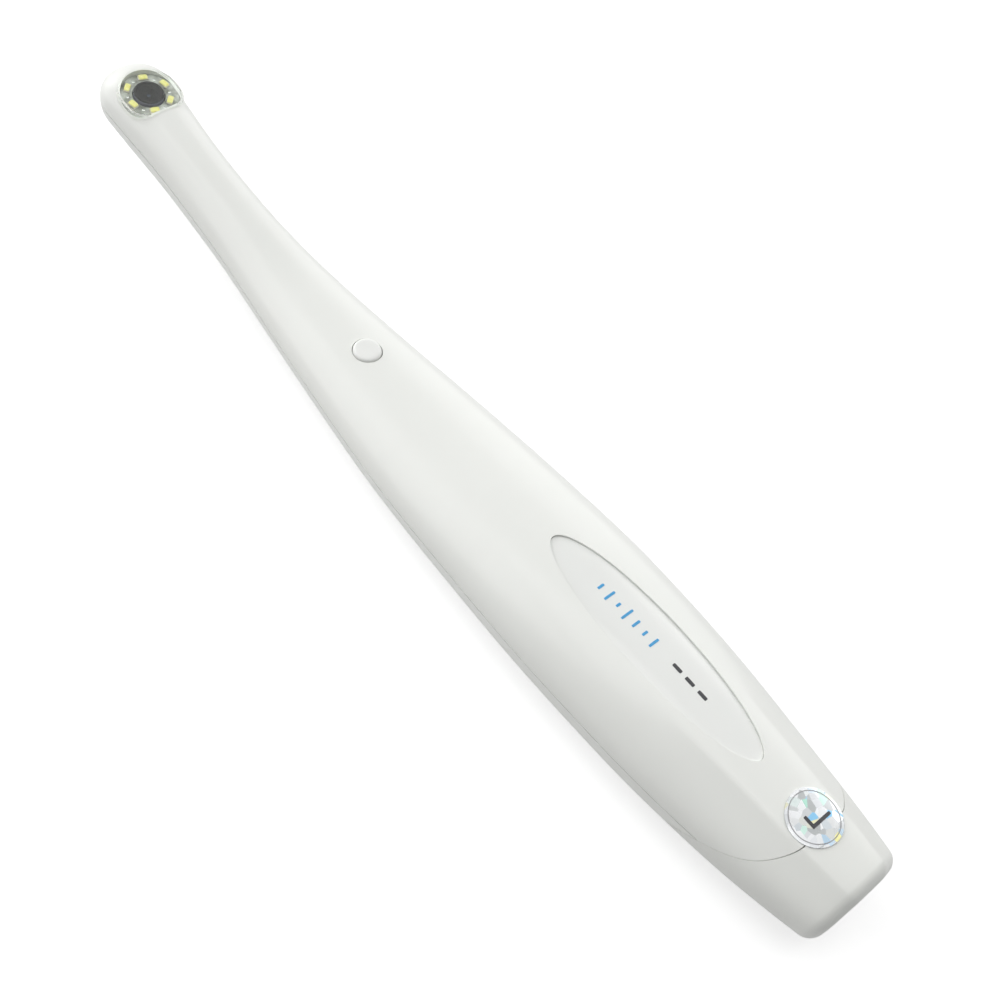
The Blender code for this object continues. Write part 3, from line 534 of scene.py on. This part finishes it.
def full_body(name, start, end, inset, segments=72, step=2.5):
    rings = [[section_point(station, 2 * math.pi * (i + 0.5) / segments, inset)
              for i in range(segments)] for station in body_stations(start, end, step)]
    return loft(name, rings)


def seam_tool(shift, towards):
    outline = []
    for index in range(81):
        z = -4.0 + index * 0.33
        drop = smooth_step((SEAM_HIGH - z) / (SEAM_HIGH - SEAM_LOW))
        outline.append((at(SEAM_STATION - SEAM_SWEEP * drop + shift), z))
    outline.append((at(towards), outline[-1][1]))
    outline.append((at(towards), -4.0))
    return prism("seam_tool", outline, -20.0, 20.0, upright=True)


def draped_patch(name, station, side, along, across, low, high, power=2.0, angle=0.0, inner=0.0,
                 segments=96, steps=6):
    """Disc or ring that follows the wand's top between two heights above it."""
    shares = [max(inner + (1.0 - inner) * k / steps, 0.004) for k in range(steps + 1)]
    c, s = math.cos(math.radians(angle)), math.sin(math.radians(angle))
    rings = []
    for lift, order in ((low, shares), (high, shares[::-1])):
        for share in order:
            ring = []
            for i in range(segments):
                a = 2 * math.pi * i / segments
                u = share * along * math.copysign(abs(math.cos(a)) ** (2.0 / power), math.cos(a))
                v = share * across * math.copysign(abs(math.sin(a)) ** (2.0 / power), math.sin(a))
                ring.append(draped(station + u * c - v * s, side + u * s + v * c, lift))
            rings.append(ring)
    if inner:
        rings.append(rings[0])
    return loft(name, rings, ends=not inner)


def make_housing():
    inner = dict(segments=48, step=5.0)
    upper = half_body("shell_top", True)
    cut(upper, full_body("hollow", WALL + 0.3, LENGTH - WALL, WALL, **inner))
    depth = WINDOW_THICK + 0.6
    ledge = prism("ledge", head_outline(0.2), -depth - 0.8, -depth + 0.1, head)
    cut(upper, ledge, operation="UNION")
    cut(upper, prism("recess", head_outline(0.12), -depth, 6.0, head),
        prism("opening", head_outline(-0.6), -depth - 3.0, 1.0, head))
    top = raw_profile(BUTTON_STATION, 2)
    place = (at(BUTTON_STATION), 0.0, 0.0)
    hole = BUTTON_RADIUS + BUTTON_GAP
    collar = turned("collar", [(hole + 1.4, top - 1.0), (hole + 1.4, top - 2.3),
                               (hole - 0.3, top - 2.3), (hole - 0.3, top - 1.0)], place=place)
    cut(upper, collar, operation="UNION")
    cut(upper, turned("hole", [(0.0, top + 3.0), (hole, top + 3.0), (hole, top - 3.3),
                               (0.0, top - 3.3)], place=place, segments=96))
    cut(upper, draped_patch("oval", PLATE_STATION, 0.0, PLATE_LENGTH / 2 + PLATE_GAP,
                            PLATE_WIDTH / 2 + PLATE_GAP, -PLATE_SINK - PLATE_THICK - 0.1, 3.0,
                            segments=144))
    cut(upper, seam_tool(-GROOVE / 2, LENGTH + 8.0))
    show(upper, SHELL, ["upper_shell"])

    lower = half_body("shell_bottom", False, segments=48, step=2.0)
    cut(lower, full_body("hollow", WALL + 0.3, LENGTH - WALL, WALL, **inner))
    cut(lower, seam_tool(-GROOVE / 2, LENGTH + 8.0))
    show(lower, SHELL, ["lower_shell"])

    front = SEAM_STATION - SEAM_SWEEP - 10.0
    cap = full_body("cap", front, LENGTH, 0.0, segments=112, step=1.2)
    cut(cap, seam_tool(GROOVE / 2, 140.0))
    spigot = cut(full_body("spigot", front, LENGTH - 3.0, WALL + 0.3, **inner),
                 seam_tool(0.15 - 3.0, 140.0))
    throat = full_body("throat", front - 2.0, LENGTH - 3.5, WALL + 1.4, **inner)
    room = cut(full_body("room", front - 2.0, LENGTH - WALL - 0.4, WALL, **inner),
               seam_tool(1.1, 140.0))
    cut(cap, spigot, operation="UNION")
    cut(cap, throat, room)
    bore = turned("bore", [(0.0, 4.0), (4.55, 4.0), (4.55, -6.0), (0.0, -6.0)],
                  tail_axis(LENGTH), segments=96)
    cut(cap, bore)
    show(cap, CAP, ["tail_cap"])


def tail_axis(station, side=0.0, height=SOCKET_HEIGHT):
    """Frame whose Z axis runs out of the tail."""
    return (Matrix.Translation(Vector((at(station), side, height)) * MM)
            @ Matrix.Rotation(math.pi / 2, 4, "Y"))


make_housing()


# ---------------------------------------------------------------- lens head
def block(name, size, matrix, width=0.08, segments=3):
    bm = bmesh.new()
    bmesh.ops.create_cube(bm, size=1.0)
    bmesh.ops.scale(bm, vec=Vector(size) * MM, verts=bm.verts)
    bmesh.ops.bevel(bm, geom=bm.edges[:], offset=width * MM, segments=segments, profile=0.6,
                    affect="EDGES")
    return add(name, bm, matrix)


def pad(name, size, crown, matrix, power=5.0, segments=48, steps=5):
    """Low pillow with a rounded rectangular outline and a crowned top."""
    rings = []
    for k in range(steps + 1):
        t = math.sin(math.pi / 2 * k / steps)
        rings.append((t, size[2] + crown * (1.0 - t * t)))
    rings[0] = (0.02, rings[0][1])
    rings += [(1.0, 0.0), (0.02, 0.0)]
    points = []
    for share, z in rings:
        ring = []
        for i in range(segments):
            a = 2 * math.pi * i / segments
            x = size[0] / 2 * share * math.copysign(abs(math.cos(a)) ** (2 / power), math.cos(a))
            y = size[1] / 2 * share * math.copysign(abs(math.sin(a)) ** (2 / power), math.sin(a))
            ring.append(matrix @ (Vector((x, y, z)) * MM))
        points.append(ring)
    return loft(name, points)


def in_head(x, y, z, angle=0.0):
    return (head @ Matrix.Translation(Vector((x, y, z)) * MM)
            @ Matrix.Rotation(math.radians(angle), 4, "Z"))


def make_window():
    window = prism("window", head_outline(), -WINDOW_THICK, 0.0, head)
    bevel(window, 0.5, segments=6, angle=60.0)
    cut(window, prism("window_room", head_outline(-0.5), -WINDOW_THICK - 1.0, -WINDOW_PANE, head))
    show(window, WINDOW, ["head_window"], angle=28.0)
    low, high = -WINDOW_THICK - 0.45, -WINDOW_THICK - 0.1
    gasket = prism("gasket", head_outline(), low, high, head)
    cut(gasket, prism("gasket_room", head_outline(-0.45), low - 1.0, high + 1.0, head))
    bevel(gasket, 0.08)
    show(gasket, RUBBER, ["window_gasket"])


def make_barrel():
    top, low, outer = BARREL_TOP, BARREL_END, BARREL_RADIUS
    barrel = turned("barrel", [
        (outer - 0.22, top), (outer - 0.12, top - 0.03), (outer - 0.06, top - 0.12),
        (outer - 0.06, low), (BARREL_BORE, low), (BARREL_BORE, top - 1.05), (0.42, top - 0.98),
        (0.36, top - 0.92), (0.42, top - 0.86), (0.86, top - 0.78), (0.9, top - 0.7),
        (1.3, top - 0.56), (1.34, top - 0.48), (1.74, top - 0.36), (BARREL_BORE, top - 0.28),
        (2.2, top - 0.15), (2.26, top - 0.06), (2.4, top)], head, segments=96)
    show(barrel, BLACK, ["lens_barrel"], angle=20.0)
    sleeve = turned("barrel_sleeve", [
        (outer - 0.05, top - 0.16), (outer - 0.01, top - 0.18), (outer, top - 0.22),
        (outer, low + 0.1), (outer - 0.05, low + 0.1)], head, segments=96)
    show(sleeve, BARREL_SIDE)
    crown = top - 1.22
    lens = turned("objective", [
        (0.0, crown + 0.18), (0.3, crown + 0.165), (0.6, crown + 0.12), (0.9, crown + 0.04),
        (1.2, crown - 0.08), (1.4, crown - 0.19), (1.55, crown - 0.3), (1.55, crown - 0.6),
        (1.0, crown - 0.66), (0.0, crown - 0.7)], head, segments=64)
    show(lens, LENS, ["front_lens"])


def make_lamps():
    board_top = LAMP_BOARD_TOP
    board = prism("ring_board", head_outline(-0.7), board_top - 0.5, board_top, head)
    cut(board, turned("ring_bore", [(0.0, 1.0), (3.0, 1.0), (3.0, -4.0), (0.0, -4.0)], head,
                      segments=96))
    bevel(board, 0.05, segments=2)
    show(board, RING_BOARD, ["led_board"])
    foot_reach, solder_ring = 0.9, 3.9
    for index in range(LAMP_COUNT):
        angle = LAMP_PHASE + LAMP_PITCH * index
        number = index + 1
        c, s = math.cos(math.radians(angle)), math.sin(math.radians(angle))
        x, y = LAMP_RING * c, LAMP_RING * s
        body = block("lamp_body_%d" % number, (1.1, 1.86, 0.3),
                     in_head(x, y, board_top + 0.2, angle), 0.06)
        show(body, CREAM, ["led_%d" % number])
        # Gel of each lamp, with a painted glow standing in for light through the window.
        gel = pad("lamp_gel_painted_glow_%d" % number, (1.02, 1.6, 0.2), 0.1,
                  in_head(x, y, board_top + 0.35, angle))
        show(gel, PHOSPHOR_AND_PAINTED_GLOW)
        for end, letter in ((-1, "a"), (1, "b")):
            foot = block("lamp_foot_%d_%s" % (number, letter), (0.9, 0.2, 0.1),
                         in_head(x - s * foot_reach * end, y + c * foot_reach * end,
                                 board_top + 0.06, angle), 0.02, 2)
            show(foot, SILVER)
        turn = math.radians(angle + LAMP_PITCH / 2)
        dot = turned("solder_%d" % number,
                     [(0.0, 0.1), (0.14, 0.09), (0.24, 0.04), (0.27, 0.0), (0.0, 0.0)],
                     in_head(solder_ring * math.cos(turn), solder_ring * math.sin(turn),
                             board_top + 0.01), segments=20)
        show(dot, SILVER)


make_window()
make_barrel()
make_lamps()


# ---------------------------------------------------------------- button, plate, seal
def make_button():
    top = raw_profile(BUTTON_STATION, 2) + BUTTON_PROUD
    place = (at(BUTTON_STATION), 0.0, 0.0)
    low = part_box("snapshot_button")[0]
    bottom = low[2] / MM
    flange = raw_profile(BUTTON_STATION, 2) - 2.6
    r = BUTTON_RADIUS
    button = turned("button", [
        (0.0, top - 0.05), (0.5, top - 0.045), (1.0, top - 0.03), (1.5, top - 0.01), (1.85, top),
        (2.1, top - 0.03), (2.3, top - 0.1), (2.45, top - 0.21), (2.55, top - 0.36), (r, top - 0.55),
        (r, flange), (BUTTON_FLANGE, flange), (BUTTON_FLANGE, flange - 0.7), (1.2, flange - 0.7),
        (1.2, bottom), (0.0, bottom)], place=place, segments=96)
    show(button, BUTTON, ["snapshot_button"], body="button", angle=25.0)


def print_mark(name, material, slot, station, side, along, across, lift, **shape):
    mark = draped_patch(name, station, side, along, across, lift, lift + PRINT_THICK, **shape)
    return show(mark, material)


def make_plate():
    plate = draped_patch("plate_film", PLATE_STATION, 0.0, PLATE_LENGTH / 2, PLATE_WIDTH / 2,
                         -PLATE_SINK - PLATE_THICK, -PLATE_SINK, segments=144, steps=14)
    bevel(plate, 0.06)
    show(plate, PLATE, ["nameplate"])
    lift = -PLATE_SINK + 0.01
    stroke = dict(power=7.0, segments=48)
    wave_start, wave_pitch, dash_start, dash_pitch = 136.8, 2.1, 154.9, 2.9
    for index, reach in enumerate((0.7, 1.2, 0.5, 1.35, 0.9, 0.6, 1.1)):
        print_mark("mark_wave_%d" % (index + 1), BLUE_PRINT, "plate_white",
                   wave_start + wave_pitch * index, 0.0, reach, 0.24, lift, angle=90.0, **stroke)
    for index in range(3):
        print_mark("mark_dash_%d" % (index + 1), DARK_PRINT, "plate_white",
                   dash_start + dash_pitch * index, 0.0, 0.95, 0.34, lift, **stroke)


def make_seal():
    """Foil seal with a thin ring and a tick in place of the real one's lettering."""
    seal = draped_patch("seal", SEAL_STATION, 0.0, SEAL_RADIUS, SEAL_RADIUS, SEAL_LIFT,
                        SEAL_LIFT + SEAL_THICK, segments=128, steps=12)
    show(seal, FOIL, ["seal_sticker"])
    lift = SEAL_LIFT + SEAL_THICK + 0.01
    stroke = dict(power=7.0, segments=48)
    print_mark("seal_ring", GREY_PRINT, "seal_foil", SEAL_STATION, 0.0, 4.35, 4.35, lift,
               inner=0.965)
    print_mark("seal_tick_1", DARK_PRINT, "seal_foil", SEAL_STATION + 0.1, -1.35, 1.15, 0.3, lift,
               **stroke)
    print_mark("seal_tick_2", DARK_PRINT, "seal_foil", SEAL_STATION + 0.95, 0.5, 2.15, 0.3, lift,
               angle=90.0, **stroke)


make_button()
make_plate()
make_seal()


# ---------------------------------------------------------------- inlet in the tail
def make_inlet():
    """Round socket with a keyed insert and its pins; the photograph hides the end face."""
    face, rear = LENGTH - 0.2, LENGTH - SOCKET_DEPTH
    seat = tail_axis(rear + 0.5)
    r, end = SOCKET_RADIUS, rear - face
    sleeve = turned("inlet_sleeve", [
        (4.14, 0.0), (4.05, 0.02), (3.95, -0.03), (r, -0.2), (r, end), (4.3, end),
        (4.3, -3.2), (4.85, -3.2), (4.85, -2.3), (4.3, -2.3), (4.3, -0.12), (4.24, -0.04)],
        tail_axis(face), segments=96)
    show(sleeve, SILVER, ["socket_sleeve"])
    insert = turned("inlet_insert", [
        (0.0, 2.0), (3.2, 2.0), (3.4, 1.92), (3.5, 1.75), (3.5, 0.0), (0.0, 0.0)], seat,
        segments=72)
    key = prism("key_slot", [(-0.5, 2.7), (0.5, 2.7), (0.5, 4.0), (-0.5, 4.0)], 0.9, 3.0, seat)
    cut(insert, key)
    holes = []
    for index in range(PIN_COUNT):
        angle = math.radians(45.0 + 90.0 * index)
        y, z = PIN_RING * math.cos(angle), SOCKET_HEIGHT + PIN_RING * math.sin(angle)
        holes.append(turned("pin_hole", [(0.0, 3.0), (0.5, 3.0), (0.5, -1.0), (0.0, -1.0)],
                            tail_axis(rear + 0.5, y, z), segments=24))
        pin = turned("inlet_pin_%d" % (index + 1), [
            (0.0, 5.4), (0.16, 5.38), (0.3, 5.28), (0.38, 5.1), (0.4, 4.9), (0.4, 0.0), (0.0, 0.0)],
            tail_axis(rear - 0.7, y, z), segments=32)
        show(pin, GOLD, ["socket_pin_%d" % (index + 1)])
    cut(insert, *holes)
    show(insert, EPOXY, ["socket_insert"])


make_inlet()


# ---------------------------------------------------------------- pieces kept from the CAD model
def insulation(name, colour):
    dark = tuple(c * 0.75 for c in colour)
    return moulded(name, colour, dark, 0.45, grain=0.06)


def dress(material, *names):
    """Material on pieces that keep the CAD model's mesh; nearly all are inside the shells."""
    for name in names:
        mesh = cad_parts[name].data
        mesh.materials.clear()
        mesh.materials.append(material)


FILTER = clear("filter_glass", (0.45, 0.75, 0.8), 0.02, 1.52, 0.85)
SILICON = moulded("sensor_silicon", (0.08, 0.09, 0.15), (0.05, 0.06, 0.1), 0.14, coat=0.6)
dress(BLACK, "aperture_stop", "lens_holder")
dress(LENS, "rear_lens")
dress(FILTER, "ir_filter")
dress(SILICON, "image_sensor")
dress(MASK, "sensor_board", "main_board")
dress(AMBER, "flex_cable")
dress(CREAM, "flex_connector", "wire_connector")
dress(EPOXY, "image_processor", "memory_chip", "regulator", "switch_base", "switch_plunger")
dress(FERRITE, "inductor")
dress(SILVER, "crystal", "capacitor_1", "capacitor_2", "switch_cover")
dress(STEEL, "board_screw_1", "board_screw_2", "switch_dome")
dress(insulation("insulation_red", (0.6, 0.03, 0.02)), "lead_1")
dress(insulation("insulation_white", (0.75, 0.75, 0.72)), "lead_2")
dress(insulation("insulation_green", (0.03, 0.3, 0.08)), "lead_3")
dress(insulation("insulation_black", (0.03, 0.03, 0.03)), "lead_4")


# ---------------------------------------------------------------- camera, light, floor
CAMERA_ANGLES = 55.309, 30.557, 21.813  # elevation, azimuth and roll, fitted to the outline
CAMERA_TARGET, CAMERA_DISTANCE, CAMERA_LENS = (0.008892, 0.008066, 0.0), 0.271178, 54.183
FLOOR_TONE, FLOOR_LIFT, SKY = 0.62, 0.6, 0.2
LAMPS = (  # name, place, side of its square, power
    ("key_tail", (0.3, 0.8, 1.0), 1.2, 3.6),
    ("key_head", (-0.1, -0.1, 1.1), 0.7, 2.6),
    ("fill_near", (-0.7, -0.5, 0.5), 1.2, 7.4),
    ("rim_far", (-0.2, 1.0, 0.4), 1.0, 4.6),
    ("fill_front", (-1.0, 0.0, 0.4), 0.6, 1.8),
)


def make_camera():
    """Long view from above and behind, turned a little about its own axis."""
    elevation, azimuth, roll = (math.radians(a) for a in CAMERA_ANGLES)
    side = Vector((math.cos(azimuth), math.sin(azimuth), 0.0))
    level = Vector((-math.sin(azimuth), math.cos(azimuth), 0.0))
    forward = level * math.cos(elevation) - Vector((0, 0, 1)) * math.sin(elevation)
    above = side.cross(forward)
    right = side * math.cos(roll) + above * math.sin(roll)
    upward = above * math.cos(roll) - side * math.sin(roll)
    data = bpy.data.cameras.new("camera")
    data.sensor_width = 36.0
    data.lens = CAMERA_LENS
    data.clip_start = 0.01
    data.clip_end = 20.0
    camera = bpy.data.objects.new("camera", data)
    bpy.context.scene.collection.objects.link(camera)
    target = Vector(CAMERA_TARGET)
    camera.matrix_world = Matrix.Translation(target - forward * CAMERA_DISTANCE) @ Matrix(
        (right, upward, -forward)).transposed().to_4x4()
    bpy.context.scene.camera = camera


def lamp(name, place, size, power):
    """Square area lamp aimed at the middle of the wand."""
    data = bpy.data.lights.new(name, "AREA")
    data.shape = "RECTANGLE"
    data.size, data.size_y = size, size
    data.energy = power
    obj = bpy.data.objects.new(name, data)
    bpy.context.scene.collection.objects.link(obj)
    obj.location = place
    aim = Vector((0, 0, 0)) - Vector(place)
    obj.rotation_euler = aim.to_track_quat("-Z", "Y").to_euler()


def seen_directly(tree, low, high):
    """A strength that is high for camera rays, middling for reflections and low for light."""
    path = tree.nodes.new("ShaderNodeLightPath")
    value = path.outputs["Is Camera Ray"]
    for other, share in (("Is Glossy Ray", 0.5), ("Is Transmission Ray", 0.9)):
        part = tree.nodes.new("ShaderNodeMath")
        part.operation = "MULTIPLY"
        part.inputs[1].default_value = share
        tree.links.new(path.outputs[other], part.inputs[0])
        both = tree.nodes.new("ShaderNodeMath")
        both.operation = "MAXIMUM"
        tree.links.new(value, both.inputs[0])
        tree.links.new(part.outputs[0], both.inputs[1])
        value = both.outputs[0]
    return span(tree, value, low, high)


def make_floor():
    bm = bmesh.new()
    bmesh.ops.create_grid(bm, x_segments=1, y_segments=1, size=3.0)
    floor = add("floor", bm)
    material, tree, shader = new_material("floor_white")
    shader.inputs["Base Color"].default_value = (FLOOR_TONE, FLOOR_TONE, FLOOR_TONE, 1.0)
    shader.inputs["Roughness"].default_value = 0.9
    shader.inputs["Specular IOR Level"].default_value = 0.0
    shader.inputs["Emission Color"].default_value = (1.0, 1.0, 1.0, 1.0)
    tree.links.new(seen_directly(tree, 0.0, FLOOR_LIFT), shader.inputs["Emission Strength"])
    floor.data.materials.append(material)
    floor.location.z = -0.0002


make_camera()
make_floor()
for settings in LAMPS:
    lamp(*settings)

world = bpy.data.worlds.new("studio")
world.use_nodes = True
background = world.node_tree.nodes["Background"]
background.inputs["Color"].default_value = (1.0, 1.0, 1.0, 1.0)
world.node_tree.links.new(seen_directly(world.node_tree, SKY, 1.0), background.inputs["Strength"])
bpy.context.scene.world = world
bpy.context.scene.view_settings.view_transform = "Standard"
